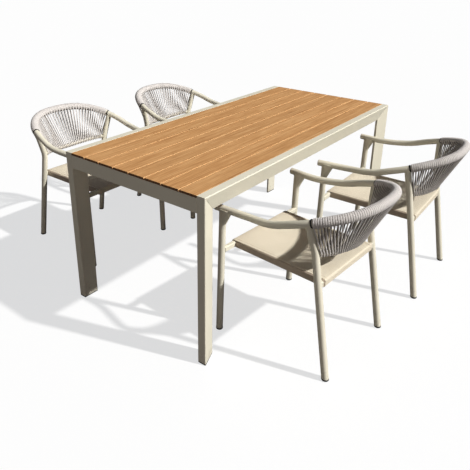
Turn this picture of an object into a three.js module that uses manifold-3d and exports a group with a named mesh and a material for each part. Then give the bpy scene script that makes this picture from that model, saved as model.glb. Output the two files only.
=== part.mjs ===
// Patio dining set: a slatted table with a mitred tapered frame, and four stacking armchairs with
// sling seats and rope backs.  Millimetres, +Z up, floor at z = 0.
import * as THREE from 'three';
import { ConvexGeometry } from 'three/addons/geometries/ConvexGeometry.js';
import { mergeVertices } from 'three/addons/utils/BufferGeometryUtils.js';
import Module from 'manifold-3d';

const wasm = await Module();
wasm.setup();

const GAP = 0.3;                       // clearance between pieces that touch

// ---- table ----
const TABLE = { length: 1700, width: 800, height: 750 };
const PROFILE = { wide: 78, deep: 40, lip: 12, ridge: 4, edge: 1.2 };  // tapered frame section
const FOOT_CAP = 5;                    // thickness of the plastic cap under each leg
const SLAT = { count: 8, thick: 10, gap: 5, bevel: 1.2, end: 0.5 };
const END_RAIL = { thick: 25, underside: 678 };
const BRACE = { at: [-285, 285], width: 40, depth: 26 };

// ---- armchair, in its own frame: seat faces +Y, origin on the floor between the feet ----
const TUBE = 15;                       // radius of the legs, arms and top rail
const LOWER_TUBE = 10;                 // radius of the lower back rail
const ROPE = { wrap: 20, panel: 10 };    // outside radius round the top rail, thickness of the back
const FRONT_FOOT = [269, 260, 0];
const REAR_FOOT = [223, -260, 0];
const REAR_KNEE = [212, -164, 523];    // where the rear leg turns outwards
const RAIL_HALF = [                    // arm tip to the middle of the back, along the tube's centre
  [270, 282, 598], [267, 249, 598], [261, 133, 599], [272, 4, 613], [267, -85, 641],
  [253, -151, 662], [229, -206, 680], [183, -263, 698], [131, -297, 709], [76, -314, 714],
  [0, -320, 716],
];
const RAIL_STEPS = [1, 1, 3, 2, 1, 1, 2, 2, 1, 2];  // facets between those points
const FRONT_JOINT = 1;                 // index in RAIL_HALF of the front leg's joint
const REAR_JOINT = 5;                  // index in RAIL_HALF of the rear leg's joint
const LOWER_HALF = [[212, -164, 529], [163, -195, 525], [90, -216, 519], [0, -227, 514]];
const LOWER_STEPS = [2, 2, 2];
const GUSSET = { drop: 73, reach: 27 };  // the front leg widens backwards under the arm
const SEAT = {
  frontY: 243, frontZ: 406, rearY: -185, rearZ: 401, // centres of the front and rear bars
  half: 194, railWidth: 25, barWidth: 28, height: 30, chamfer: 6,
};
const SLING = { thick: 2.5, frontHalf: 192, rearHalf: 186, drop: 24, dip: 16 };

// Where each chair stands, and its turn from square in degrees.
const CHAIRS = [
  { name: 'chair_1', x: -373, y: -572, turn: -3.9 },
  { name: 'chair_2', x: 375, y: -630, turn: 1.4 },
  { name: 'chair_3', x: -365, y: 816, turn: 179.8 },
  { name: 'chair_4', x: 395, y: 783, turn: 181.8 },
];

const FINISH = {
  frame: { color: 0xe9dfc6, roughness: 0.42, metalness: 0.15 },
  slat: { color: 0xb8793f, roughness: 0.6, metalness: 0 },
  plastic: { color: 0x2a2927, roughness: 0.55, metalness: 0 },
  brace: { color: 0xe2d8c0, roughness: 0.45, metalness: 0.15 },
  sling: { color: 0xd9cdb4, roughness: 0.8, metalness: 0 },
  rope: { color: 0xb3aaa3, roughness: 0.85, metalness: 0 },
};

const v3 = (p) => new THREE.Vector3(...p);
const mirrorX = (p) => [-p[0], p[1], p[2]];
const lerp = THREE.MathUtils.lerp;

function toSolid(geometry) {
  const g = geometry.clone();
  g.deleteAttribute('normal');
  g.deleteAttribute('uv');
  const merged = mergeVertices(g, 1e-4);
  return new wasm.Manifold(new wasm.Mesh({
    numProp: 3,
    vertProperties: new Float32Array(merged.attributes.position.array),
    triVerts: new Uint32Array(merged.index.array),
  }));
}

function toGeometry(solid) {
  const { vertProperties, triVerts } = solid.getMesh();
  const g = new THREE.BufferGeometry();
  g.setAttribute('position', new THREE.BufferAttribute(new Float32Array(vertProperties), 3));
  g.setIndex(new THREE.BufferAttribute(new Uint32Array(triVerts), 1));
  g.computeVertexNormals();
  return g;
}

function piece(name, geometry, finish) {
  const mesh = new THREE.Mesh(geometry, new THREE.MeshStandardMaterial(FINISH[finish]));
  mesh.name = name;
  return mesh;
}

// ---------------------------------------------------------------- shared shapes

// A path whose extrusion steps fall on the given points, close together only where it bends.
class Stations extends THREE.Curve {
  constructor(points) {
    super();
    this.points = points;
  }
  getUtoTmapping(u) {
    return u;
  }
  getPoint(t) {
    const last = this.points.length - 1, i = Math.min(Math.floor(t * last + 1e-9), last - 1);
    return this.points[i].clone().lerp(this.points[i + 1], t * last - i);
  }
  getTangent(t) {
    const last = this.points.length - 1, i = Math.round(t * last), tangent = new THREE.Vector3();
    for (const k of [Math.max(i, 1), Math.min(i + 1, last)]) {
      tangent.add(this.points[k].clone().sub(this.points[k - 1]).normalize());
    }
    return tangent.normalize();
  }
}

// A round tube of the given radius through a row of points.
function tube(points, radius, sides = 10) {
  const ring = [];
  for (let i = 0; i < sides; i++) {
    const a = (2 * Math.PI * (i + 0.5)) / sides;
    ring.push(new THREE.Vector2(radius * Math.cos(a), radius * Math.sin(a)));
  }
  return new THREE.ExtrudeGeometry(new THREE.Shape(ring), {
    steps: points.length - 1, extrudePath: new Stations(points), bevelEnabled: false,
  });
}

// A curve through half a set of points and their mirror images.
function mirroredCurve(half) {
  const points = [...half, ...half.slice(0, -1).reverse().map(mirrorX)];
  return new THREE.CatmullRomCurve3(points.map(v3), false, 'centripetal');
}

// Curve parameters of a mirrored curve, with cuts[i] steps between its points i and i + 1.
function parameters(cuts) {
  const spans = cuts.length * 2, list = [0];
  [...cuts, ...[...cuts].reverse()].forEach((steps, i) => {
    for (let k = 1; k <= steps; k++) list.push((i + k / steps) / spans);
  });
  return list;
}

// Hull of a flat section carried between two stations: place(vertex, 0 or 1) gives its corners.
function prism(section, place) {
  return new ConvexGeometry([0, 1].flatMap((end) => section.map((p) => v3(place(p, end)))));
}

function chamfered(width, height, c) {
  const w = width / 2, h = height / 2;
  return [
    [w, h - c], [w - c, h], [c - w, h], [-w, h - c], [-w, c - h], [c - w, -h], [w - c, -h], [w, c - h],
  ];
}

// A closed slab of even thickness about a surface point(u, v), with u and v from 0 to 1.
function slab(nu, nv, thickness, point) {
  const at = [], up = [], e = 1e-4;
  for (let i = 0; i <= nu; i++) {
    for (let j = 0; j <= nv; j++) {
      const u = i / nu, v = j / nv;
      const du = point(Math.min(u + e, 1), v).sub(point(Math.max(u - e, 0), v));
      const dv = point(u, Math.min(v + e, 1)).sub(point(u, Math.max(v - e, 0)));
      at.push(point(u, v));
      up.push(du.cross(dv).normalize().multiplyScalar(thickness / 2));
    }
  }
  const xyz = [], index = [], n = at.length;
  const id = (i, j, side) => side * n + i * (nv + 1) + j;
  for (const side of [1, -1]) {
    at.forEach((p, k) => xyz.push(...p.clone().addScaledVector(up[k], side).toArray()));
  }
  const quad = (a, b, c, d) => index.push(a, b, c, a, c, d);
  for (let i = 0; i < nu; i++) {
    for (let j = 0; j < nv; j++) {
      quad(id(i, j, 0), id(i + 1, j, 0), id(i + 1, j + 1, 0), id(i, j + 1, 0));
      quad(id(i, j, 1), id(i, j + 1, 1), id(i + 1, j + 1, 1), id(i + 1, j, 1));
    }
  }
  for (let i = 0; i < nu; i++) {
    quad(id(i, 0, 1), id(i + 1, 0, 1), id(i + 1, 0, 0), id(i, 0, 0));
    quad(id(i, nv, 0), id(i + 1, nv, 0), id(i + 1, nv, 1), id(i, nv, 1));
  }
  for (let j = 0; j < nv; j++) {
    quad(id(0, j, 0), id(0, j + 1, 0), id(0, j + 1, 1), id(0, j, 1));
    quad(id(nu, j, 1), id(nu, j + 1, 1), id(nu, j + 1, 0), id(nu, j, 0));
  }
  const g = new THREE.BufferGeometry();
  g.setAttribute('position', new THREE.Float32BufferAttribute(xyz, 3));
  g.setIndex(index);
  return g;
}

// ---------------------------------------------------------------- table

// Frame section as [distance in from the frame's outer edge, distance out from its inner face],
// all of it inset by the given distance.  The outer face slopes, so the member is deep at its outer
// edge, where it has a rounded ridge, and thin at its inner lip.
function frameSection(inset = 0) {
  const { wide, deep, lip, ridge, edge } = PROFILE;
  const slope = Math.atan2(deep - lip, wide);
  const outer = (u) => deep - inset / Math.cos(slope) - u * Math.tan(slope);
  const far = wide - inset, cu = inset + ridge;
  const cv = outer(cu) - ridge / Math.cos(slope);
  const section = [[inset + edge, inset], [far - edge, inset], [far, inset + edge],
    [far, outer(far) - edge], [far - edge, outer(far - edge)]];
  for (let i = 0; i <= 3; i++) {
    const a = lerp(Math.PI / 2 - slope, Math.PI, i / 3);
    section.push([cu + ridge * Math.cos(a), cv + ridge * Math.sin(a)]);
  }
  return [...section, [inset, inset + edge]];
}

function table() {
  const { length, width, height } = TABLE;
  const { wide, deep } = PROFILE;
  const halfX = length / 2, inner = width / 2 - deep;
  const mitre = GAP * 0.7;
  const parts = [];
  const section = frameSection(), capSection = frameSection(0.6);

  for (const [side, sy] of [['right', -1], ['left', 1]]) {
    parts.push(piece(`table_side_rail_${side}`, prism(section, ([u, v], end) => [
      (end ? 1 : -1) * (halfX - u - mitre), sy * (inner + v), height - u,
    ]), 'frame'));
    for (const [end, sx] of [['near', -1], ['far', 1]]) {
      parts.push(piece(`table_leg_${side}_${end}`, prism(section, ([u, v], top) => [
        sx * (halfX - u), sy * (inner + v), top ? height - u - mitre : FOOT_CAP + GAP,
      ]), 'frame'));
      parts.push(piece(`table_foot_cap_${side}_${end}`, prism(capSection, ([u, v], top) => [
        sx * (halfX - u), sy * (inner + v), top ? FOOT_CAP : 0,
      ]), 'plastic'));
    }
  }

  const slatBottom = height - SLAT.thick;
  for (const [end, sx] of [['near', -1], ['far', 1]]) {
    const railHeight = slatBottom - GAP - END_RAIL.underside;
    parts.push(piece(`table_end_rail_${end}`, prism(
      chamfered(END_RAIL.thick, railHeight, 1.5),
      ([x, z], e) => [sx * (halfX - END_RAIL.thick / 2) + x, (e ? 1 : -1) * (inner - GAP),
        END_RAIL.underside + railHeight / 2 + z],
    ), 'frame'));
  }
  BRACE.at.forEach((bx, i) => {
    parts.push(piece(`table_cross_brace_${i + 1}`, prism(
      chamfered(BRACE.width, BRACE.depth, 2),
      ([x, z], e) => [bx + x, (e ? 1 : -1) * (inner - GAP), slatBottom - GAP - BRACE.depth / 2 + z],
    ), 'brace'));
  });

  const span = 2 * (inner - 1);
  const slatWidth = (span - SLAT.gap * (SLAT.count - 1)) / SLAT.count;
  for (let i = 0; i < SLAT.count; i++) {
    const y = -span / 2 + slatWidth / 2 + i * (slatWidth + SLAT.gap);
    parts.push(piece(`table_slat_${i + 1}`, prism(
      chamfered(slatWidth, SLAT.thick, SLAT.bevel),
      ([dy, z], e) => [(e ? 1 : -1) * (halfX - SLAT.end), y + dy, slatBottom + SLAT.thick / 2 + z],
    ), 'slat'));
  }
  return parts;
}

// ---------------------------------------------------------------- armchair

// A straight chamfered bar between two points at the same height.
function bar(from, to, width, height, c) {
  const a = v3(from), b = v3(to);
  const side = b.clone().sub(a).cross(v3([0, 0, 1])).normalize();
  return prism(chamfered(width, height, c), ([s, z], end) => (
    (end ? b : a).clone().addScaledVector(side, s).add(v3([0, 0, z])).toArray()
  ));
}

// Profile of the sling from the hem under the front bar, over it, back over the seat and down
// behind the rear bar, as [y, z, how far it may dip].
function slingProfile() {
  const { frontY, frontZ, rearY, rearZ, barWidth, height, chamfer } = SEAT;
  const lift = GAP + SLING.thick / 2;
  const y1 = barWidth / 2 + lift, z1 = height / 2 + lift, c = chamfer + 1;
  const line = [[frontY + y1, frontZ + z1 - SLING.drop, 0], [frontY + y1, frontZ + z1 - c, 0],
    [frontY + y1 - c, frontZ + z1, 0], [frontY - y1, frontZ + z1, 0]];
  const inside = 6;
  for (let i = 1; i < inside; i++) {
    const t = i / inside, s = Math.sin(Math.PI * t);
    line.push([lerp(frontY - y1, rearY + y1, t), lerp(frontZ, rearZ, t) + z1, s ** 0.8]);
  }
  line.push([rearY + y1, rearZ + z1, 0], [rearY - y1 + c, rearZ + z1, 0],
    [rearY - y1, rearZ + z1 - c, 0], [rearY - y1, rearZ + z1 - SLING.drop, 0]);
  return line;
}

// Reads a row of number lists at a fractional index.
function along(rows, f) {
  const i = Math.min(Math.floor(f + 1e-9), rows.length - 2);
  return rows[i].map((a, k) => lerp(a, rows[i + 1][k], f - i));
}

function sling() {
  const line = slingProfile();
  const flat = 0.86;                     // the outer part lies level on the side rails
  const across = [1, flat, 0.6, 0.3, 0, -0.3, -0.6, -flat, -1].map((a) => [a]);
  return slab(across.length - 1, line.length - 1, SLING.thick, (u, v) => {
    const [y, z, dip] = along(line, v * (line.length - 1));
    const [a] = along(across, u * (across.length - 1));
    const t = THREE.MathUtils.clamp((SEAT.frontY - y) / (SEAT.frontY - SEAT.rearY), 0, 1);
    const sag = SLING.dip * dip * Math.max(0, 1 - (a / flat) ** 2);
    return v3([a * lerp(SLING.frontHalf, SLING.rearHalf, t), y, z - sag]);
  });
}

function chair({ name, x, y, turn }) {
  const topCurve = mirroredCurve(RAIL_HALF), topAt = parameters(RAIL_STEPS);
  const lowCurve = mirroredCurve(LOWER_HALF), lowAt = parameters(LOWER_STEPS);
  const topPoints = topAt.map((t) => topCurve.getPoint(t));
  const lowPoints = lowAt.map((t) => lowCurve.getPoint(t));
  const solids = {};

  const rail = (radius) => toSolid(tube(topPoints, radius));
  const lowRail = (radius) => toSolid(tube(lowPoints, radius, 8));
  const floor = toSolid(new THREE.BoxGeometry(900, 900, 60).translate(0, 0, -30));
  const onSide = (side, points) => points.map((p) => v3(side < 0 ? mirrorX(p) : p));
  const sunk = (foot, next) => foot.clone().lerp(next, -0.04);   // runs on into the floor
  const frontLeg = (side, radius) => {
    const [foot, top] = onSide(side, [FRONT_FOOT, RAIL_HALF[FRONT_JOINT]]);
    const below = top.clone().lerp(foot, GUSSET.drop / top.distanceTo(foot));
    const behind = top.clone().add(v3([0, -GUSSET.reach, 0]));
    const gusset = [below, top, behind].map((p) => (
      toSolid(new THREE.SphereGeometry(radius, 10, 6).translate(p.x, p.y, p.z))
    ));
    return toSolid(tube([sunk(foot, top), top], radius))
      .add(wasm.Manifold.hull(gusset)).subtract(floor);
  };
  const rearLeg = (side, radius) => {
    const [foot, knee, top] = onSide(side, [REAR_FOOT, REAR_KNEE, RAIL_HALF[REAR_JOINT]]);
    const below = knee.clone().lerp(foot, 45 / knee.distanceTo(foot));
    const above = knee.clone().lerp(top, 45 / knee.distanceTo(top));
    const bend = new THREE.QuadraticBezierCurve3(below, knee, above).getPoints(4);
    return toSolid(tube([sunk(foot, knee), ...bend, top], radius)).subtract(floor);
  };

  const topRail = rail(TUBE), topClear = rail(TUBE + GAP);
  solids.arm_back_rail = [topRail, 'frame'];
  const legsClear = [];
  for (const [label, side] of [['left', -1], ['right', 1]]) {
    solids[`front_leg_${label}`] = [frontLeg(side, TUBE).subtract(topClear), 'frame'];
    solids[`rear_leg_${label}`] = [rearLeg(side, TUBE).subtract(topClear), 'frame'];
    legsClear.push(frontLeg(side, TUBE + GAP), rearLeg(side, TUBE + GAP));
  }
  const clearOfLegs = (solid) => legsClear.reduce((s, leg) => s.subtract(leg), solid);
  const largest = (solid) => solid.decompose().sort((a, b) => b.volume() - a.volume())[0];

  solids.lower_back_rail = [largest(clearOfLegs(lowRail(LOWER_TUBE))), 'frame'];

  const { frontY, frontZ, rearY, rearZ, half, railWidth, barWidth, height, chamfer } = SEAT;
  let frame = toSolid(bar([-FRONT_FOOT[0], frontY, frontZ], [FRONT_FOOT[0], frontY, frontZ],
    barWidth, height, chamfer));
  frame = frame.add(toSolid(bar([-211, rearY, rearZ], [211, rearY, rearZ],
    barWidth, height, chamfer)));
  for (const side of [-1, 1]) {
    const cx = side * (half - railWidth / 2);
    frame = frame.add(toSolid(bar([cx, rearY, rearZ], [cx, frontY, frontZ], railWidth, height, 4)));
  }
  solids.seat_frame = [largest(clearOfLegs(frame)), 'frame'];
  solids.sling_seat = [toSolid(sling()), 'sling'];

  // The rope: wound round the top rail behind the rear legs, and strung down to the lower rail.
  const spans = 2 * (RAIL_HALF.length - 1), from = (REAR_JOINT + 0.26) / spans, to = 1 - from;
  const wrapAt = [from, ...topAt.filter((t) => t > from + 0.01 && t < to - 0.01), to];
  const wrap = toSolid(tube(wrapAt.map((t) => topCurve.getPoint(t)), ROPE.wrap));
  const panel = toSolid(slab(16, 1, ROPE.panel, (u, v) => (
    topCurve.getPoint(lerp(from + 0.002, to - 0.002, u))
      .lerp(lowCurve.getPoint(lerp(0.05, 0.95, u)), v)
  )));
  solids.rope_back = [largest(clearOfLegs(
    wrap.add(panel).subtract(topClear).subtract(lowRail(LOWER_TUBE + GAP)))), 'rope'];

  const place = new THREE.Matrix4().makeRotationZ(THREE.MathUtils.degToRad(turn)).setPosition(x, y, 0);
  return Object.entries(solids).map(([part, [solid, finish]]) => (
    piece(`${name}_${part}`, toGeometry(solid).applyMatrix4(place), finish)
  ));
}

// ---------------------------------------------------------------- set

const set = new THREE.Group();
set.name = 'patio_dining_set';
set.add(...table(), ...CHAIRS.flatMap(chair));

// The origin is on the floor in the middle of the whole set's footprint.
const centre = new THREE.Box3().setFromObject(set).getCenter(new THREE.Vector3());
for (const mesh of set.children) mesh.position.set(-centre.x, -centre.y, 0);

export default set;
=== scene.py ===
"""Patio dining set: the finished look of a slatted table and four rope-back armchairs.

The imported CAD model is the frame. Every piece here is built in millimetres from the same
dimensions as the CAD source, placed in metres in the row frame, and rides on its CAD body.
"""
import math
from itertools import product

import bmesh
import bpy
import numpy as np
from mathutils import Matrix, Vector


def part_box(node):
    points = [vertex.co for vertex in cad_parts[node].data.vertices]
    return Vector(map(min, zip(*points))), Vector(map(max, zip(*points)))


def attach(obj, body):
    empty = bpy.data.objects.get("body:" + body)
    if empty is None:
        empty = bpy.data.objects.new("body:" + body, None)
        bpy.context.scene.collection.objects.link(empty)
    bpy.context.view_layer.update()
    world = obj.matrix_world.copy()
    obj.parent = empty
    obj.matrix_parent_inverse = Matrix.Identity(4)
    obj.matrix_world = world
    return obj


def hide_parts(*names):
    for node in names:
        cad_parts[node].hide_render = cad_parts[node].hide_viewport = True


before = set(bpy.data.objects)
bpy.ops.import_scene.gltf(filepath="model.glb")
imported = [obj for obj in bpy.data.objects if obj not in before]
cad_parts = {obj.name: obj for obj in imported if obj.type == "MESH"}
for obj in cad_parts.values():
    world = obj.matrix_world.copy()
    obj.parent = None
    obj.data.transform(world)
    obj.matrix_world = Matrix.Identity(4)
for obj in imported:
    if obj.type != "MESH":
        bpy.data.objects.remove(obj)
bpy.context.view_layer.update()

MM = 0.001

# ------------------------------------------------------------------ dimensions, in millimetres

TABLE_LENGTH, TABLE_WIDTH, TABLE_HEIGHT = 1700, 800, 750
PROFILE = {"wide": 78, "deep": 40, "lip": 12, "ridge": 4}
FOOT_CAP, GAP = 5, 0.3
SLAT = {"count": 8, "thick": 10, "gap": 5, "end": 0.5, "side": 1}
SLAT_SPAN = TABLE_WIDTH - 2 * PROFILE["deep"] - 2 * SLAT["side"]
SLAT_PITCH = (SLAT_SPAN + SLAT["gap"]) / SLAT["count"]
END_RAIL = {"thick": 25, "underside": 678}
BRACE = {"at": (-285, 285), "width": 40, "depth": 26}
RAIL_BOLT = {"in": 50, "z": (694, 722), "radius": 5.5, "height": 2.8}
BRACE_BOLT = {"y": (60, 150, 240, 330), "radius": 4.0, "height": 2.0}

# Rounded edges: degrees from which an edge is rounded, width in mm, segments.
BEVEL = {"member": (28, 1.0, 3), "foot_cap": (28, 0.8, 2), "end_rail": (40, 2.2, 4),
         "brace": (40, 2.5, 4), "slat": (40, 1.0, 3)}

TUBE, LOWER_TUBE = 15, 10
TUBE_SIDES = 28
INTO_RAIL, INTO_LEG = 0.4, 0.3                  # how far an end sinks into the tube it is welded to
FRONT_FOOT = (269, 260, 0)
REAR_FOOT = (223, -260, 0)
REAR_KNEE = (212, -164, 523)
KNEE_BEND = 24                                  # half the length of the rear leg's bend
FLARE = {"rise": 58.0, "reach": 27.0}           # the front leg's web under the arm
RAIL_HALF = [
    (270, 282, 598), (267, 249, 598), (261, 133, 599), (272, 4, 613), (267, -85, 641),
    (253, -151, 662), (229, -206, 680), (183, -263, 698), (131, -297, 709), (76, -314, 714),
    (0, -320, 716),
]
FRONT_JOINT, REAR_JOINT = 1, 5
LOWER_HALF = [(212, -164, 529), (163, -195, 525), (90, -216, 519), (0, -227, 514)]
GLIDE = ((0.0, 11.5), (0.6, 13.4), (2.2, 15.0), (4.5, 15.6), (8.6, 15.6), (9.2, 15.1))  # z, radius
SEAT = {
    "front_y": 243, "front_z": 406, "rear_y": -185, "rear_z": 401,
    "half": 194, "rail": 25, "bar": 28, "height": 30,
}
STUB = {"deep": 18, "high": 24, "shift": 4, "reach": 6}  # short bars from the seat to the legs
OVERLAP = 0.5                                   # how far seat bars and stubs go into the side bars
WELD = {"leg": 1.9, "rail": 1.6, "bar": 1.5, "stub": 1.3, "ripple": 0.3, "pitch": 3.2}
SLING = {"thick": 2.2, "front": 192, "rear": 186, "drop": 27, "dip": 16, "flat": 0.86}
HEM = {"side": 0.35, "end": 0.5, "end_width": 9.0}       # how much thicker the cloth is there
STITCH = {"length": 3.6, "gap": 1.7, "radius": 0.42}
ROPE = {"across": 5.0, "along": 8.3, "pitch": 8.5, "strand": 2.75, "count": 38, "spread": 0.2}

# Where each chair stands from the table's centre, and its turn in degrees.
CHAIRS = {
    "chair_1": (-373, -572, -3.9),
    "chair_2": (375, -630, 1.4),
    "chair_3": (-365, 816, 179.8),
    "chair_4": (395, 783, 181.8),
}

leg_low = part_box("table_leg_right_near")[0]
leg_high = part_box("table_leg_left_far")[1]
TABLE_AT = Matrix.Translation(((leg_low.x + leg_high.x) / 2, (leg_low.y + leg_high.y) / 2, 0))

SHARP_EDGE = 35                                 # degrees between faces from which an edge shows
SAME_SIDE = 0.7                                 # cosine above which faces share a corner normal


# ------------------------------------------------------------------ mesh building

class Shape:
    """Collects the faces of one piece, each with its UVs and a material number."""

    def __init__(self):
        self.points, self.faces, self.uvs, self.finish = [], [], [], []

    def loft(self, rings, caps=True, finish=0, uv=None):
        """Skin through closed rings of equal length. uv holds one (u, v) per point, or None."""
        rings = np.asarray(rings, float)
        n, m = rings.shape[:2]
        start = len(self.points)
        self.points += [tuple(p) for p in rings.reshape(-1, 3)]
        if uv is None:
            around = np.zeros((n, m + 1))
            step = np.linalg.norm(np.roll(rings, -1, axis=1) - rings, axis=2)
            around[:, 1:] = np.cumsum(step, axis=1)
            along = lengths(rings.mean(axis=1))
            uv = np.stack([around, np.repeat(along[:, None], m + 1, axis=1)], axis=2) * MM
        for i in range(n - 1):
            for j in range(m):
                k = (j + 1) % m
                self.faces.append((start + i * m + j, start + i * m + k,
                                   start + (i + 1) * m + k, start + (i + 1) * m + j))
                self.uvs.append((uv[i][j], uv[i][j + 1], uv[i + 1][j + 1], uv[i + 1][j]))
                self.finish.append(finish)
        for row in (0, n - 1) if caps else ():
            self.faces.append(tuple(start + row * m + j for j in range(m)))
            flat = rings[row] - rings[row].mean(axis=0)
            widest = np.argsort(-flat.std(axis=0))[:2]
            self.uvs.append([(p[widest[0]] * MM, p[widest[1]] * MM) for p in flat])
            self.finish.append(finish)
        return self

    def mesh(self, name, materials, bevel=None, flat=False):
        """One Blender mesh in metres, shaded smooth except across sharp edges."""
        made = bpy.data.meshes.new(name)
        made.from_pydata([tuple(c * MM for c in p) for p in self.points], [], self.faces)
        layer = made.uv_layers.new(name="UVMap")
        layer.data.foreach_set("uv", [c for face in self.uvs for corner in face for c in corner])
        made.polygons.foreach_set("material_index", self.finish)
        for m in materials:
            made.materials.append(m)
        bm = bmesh.new()
        bm.from_mesh(made)
        bmesh.ops.recalc_face_normals(bm, faces=bm.faces)
        if bevel:
            angle, width, segments = bevel
            edges = [e for e in bm.edges
                     if e.is_manifold and e.calc_face_angle(0) > math.radians(angle)]
            bmesh.ops.bevel(bm, geom=edges, offset=width * MM, segments=segments, profile=0.5,
                            affect="EDGES", clamp_overlap=True)
        bm.to_mesh(made)
        bm.free()
        made.shade_smooth()
        made.set_sharp_from_angle(angle=math.radians(SHARP_EDGE))
        if flat:
            keep_flat(made)
        return made


def keep_flat(mesh):
    """Weights corner normals by face area, so large faces between rounded edges stay flat."""
    around = [[] for _ in mesh.vertices]
    for face in mesh.polygons:
        for v in face.vertices:
            around[v].append(face.index)
    normal = np.array([face.normal[:] for face in mesh.polygons])
    area = np.array([face.area for face in mesh.polygons])
    corners = []
    for face in mesh.polygons:
        for v in face.vertices:
            near = np.array(around[v])
            weight = area[near] * (normal[near] @ normal[face.index] > SAME_SIDE)
            corners.append(unit(weight @ normal[near]))
    mesh.normals_split_custom_set(corners)


def unit(v):
    v = np.asarray(v, float)
    return v / np.maximum(np.linalg.norm(v, axis=-1, keepdims=True), 1e-12)


def circle(count, x, y, start=0.0):
    """Points round a unit circle in the plane of x and y."""
    a = 2 * np.pi * (np.arange(count) + start) / count
    return np.cos(a)[:, None] * x + np.sin(a)[:, None] * y


def tangents(path):
    path = np.asarray(path, float)
    step = unit(np.diff(path, axis=0))
    mid = unit(step[:-1] + step[1:])
    return np.vstack([step[:1], mid, step[-1:]])


def frames(path, first=(0, 0, 1)):
    """Side and up vectors along a path that turn as little as possible."""
    up = np.asarray(first, float)
    sides, ups = [], []
    for tangent in tangents(path):
        up = unit(up - tangent * (up @ tangent))
        ups.append(up)
        sides.append(np.cross(tangent, up))
    return np.array(sides), np.array(ups)


def tube_rings(path, radius, sides, first=(0, 0, 1)):
    """Rings round a path. The radius may vary along it."""
    path = np.asarray(path, float)
    side, up = frames(path, first)
    radius = np.broadcast_to(np.asarray(radius, float), (len(path),))
    a = 2 * np.pi * (np.arange(sides) + 0.5) / sides
    return (path[:, None] + radius[:, None, None] * (
        np.cos(a)[None, :, None] * side[:, None] + np.sin(a)[None, :, None] * up[:, None]))


def catmull(points):
    """Centripetal Catmull-Rom curve through points: position at t from 0 to 1."""
    p = np.asarray(points, float)
    p = np.vstack([2 * p[0] - p[1], p, 2 * p[-1] - p[-2]])
    spans = len(p) - 3

    def at(t):
        f = min(max(t, 0.0), 1.0) * spans
        i = min(int(f), spans - 1)
        w = f - i
        x0, x1, x2, x3 = p[i:i + 4]
        d0, d1, d2 = (max(np.linalg.norm(b - a) ** 0.5, 1e-4)
                      for a, b in ((x0, x1), (x1, x2), (x2, x3)))
        t1 = ((x1 - x0) / d0 - (x2 - x0) / (d0 + d1) + (x2 - x1) / d1) * d1
        t2 = ((x2 - x1) / d1 - (x3 - x1) / (d1 + d2) + (x3 - x2) / d2) * d1
        return (x1 + t1 * w + (-3 * x1 + 3 * x2 - 2 * t1 - t2) * w * w
                + (2 * x1 - 2 * x2 + t1 + t2) * w ** 3)

    return at


def mirrored_curve(half):
    return catmull([*half, *[(-x, y, z) for x, y, z in reversed(half[:-1])]])


def mirrored(point, side):
    """A point of the chair's right half, or its mirror image for side -1."""
    return np.array(point, float) * (side, 1, 1)


def dense(curve, n, start=0.0, stop=1.0):
    return np.array([curve(start + (stop - start) * i / (n - 1)) for i in range(n)])


def lengths(path):
    return np.concatenate([[0], np.cumsum(np.linalg.norm(np.diff(path, axis=0), axis=1))])


def read_at(where, s, values):
    """Vectors known at the distances s along a path, read at other distances."""
    return np.stack([np.interp(where, s, values[:, k]) for k in range(3)], axis=-1)


def at_length(path, where):
    """Points at the given distances along a path."""
    return read_at(where, lengths(path), path)


def line_distance(p, line):
    """Distance from a point to a polyline."""
    a, b = line[:-1], line[1:]
    ab = b - a
    t = np.clip(((p - a) * ab).sum(1) / (ab * ab).sum(1), 0, 1)
    return np.linalg.norm(a + ab * t[:, None] - p, axis=1).min()


def cut_ring(ring, direction, line, radius, reach=60):
    """Moves each point of a ring along direction to where it enters a tube about line."""
    direction = unit(direction)
    out = []
    for p in ring:
        steps = np.linspace(-reach, reach, 241)
        d = np.array([line_distance(p + direction * s, line) for s in steps])
        inside = np.nonzero(d < radius)[0]
        k = inside[0] if len(inside) else int(d.argmin())
        lo, hi = steps[max(k - 1, 0)], steps[k]
        if len(inside) and k > 0:
            for _ in range(12):
                mid = (lo + hi) / 2
                if line_distance(p + direction * mid, line) < radius:
                    hi = mid
                else:
                    lo = mid
        out.append(p + direction * hi)
    return np.array(out)


def bead(shape, loop, radius):
    """A weld bead along a closed loop of points, with the ripples of its passes."""
    loop = np.asarray(loop, float)
    closed = np.vstack([loop, loop[:1]])
    total = lengths(closed)[-1]
    n = max(24, int(total / 1.2))
    path = at_length(closed, np.linspace(0, total, n, endpoint=False))
    tangent = unit(np.roll(path, -1, 0) - np.roll(path, 1, 0))
    centre = path.mean(0)
    ripples = max(1, round(total / WELD["pitch"]))
    rings = []
    for i, (p, t) in enumerate(zip(path, tangent)):
        out = unit(p - centre - t * ((p - centre) @ t))
        r = radius + WELD["ripple"] * math.sin(2 * math.pi * ripples * i / n)
        rings.append(p + r * circle(6, out, np.cross(t, out)))
    shape.loft([*rings, rings[0]], caps=False)


# ------------------------------------------------------------------ materials

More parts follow.
